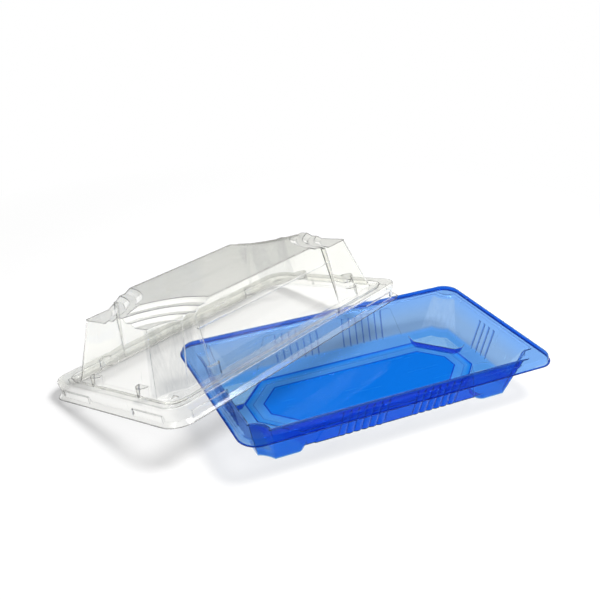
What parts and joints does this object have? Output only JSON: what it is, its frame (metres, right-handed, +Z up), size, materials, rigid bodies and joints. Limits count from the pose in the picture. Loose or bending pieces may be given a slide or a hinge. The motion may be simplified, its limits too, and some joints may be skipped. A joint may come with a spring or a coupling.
{
  "type": "sushi tray with lid",
  "caption": "Rectangular blue plastic sushi tray with fluted walls and corner feet, its clear domed press-fit lid leaning on the rim.",
  "frame": {"origin": "on the floor under the middle of the tray and lid together", "axes": "+X along the tray's long side, +Y across it towards the lid, +Z up"},
  "size_m": [0.2903, 0.2271, 0.0784],
  "materials": {
    "blue_sheet": "glossy translucent blue",
    "clear_sheet": "glossy clear"
  },
  "bodies": {
    "root": {"tray": "blue_sheet", "lid": "clear_sheet"}
  },
  "joints": []
}
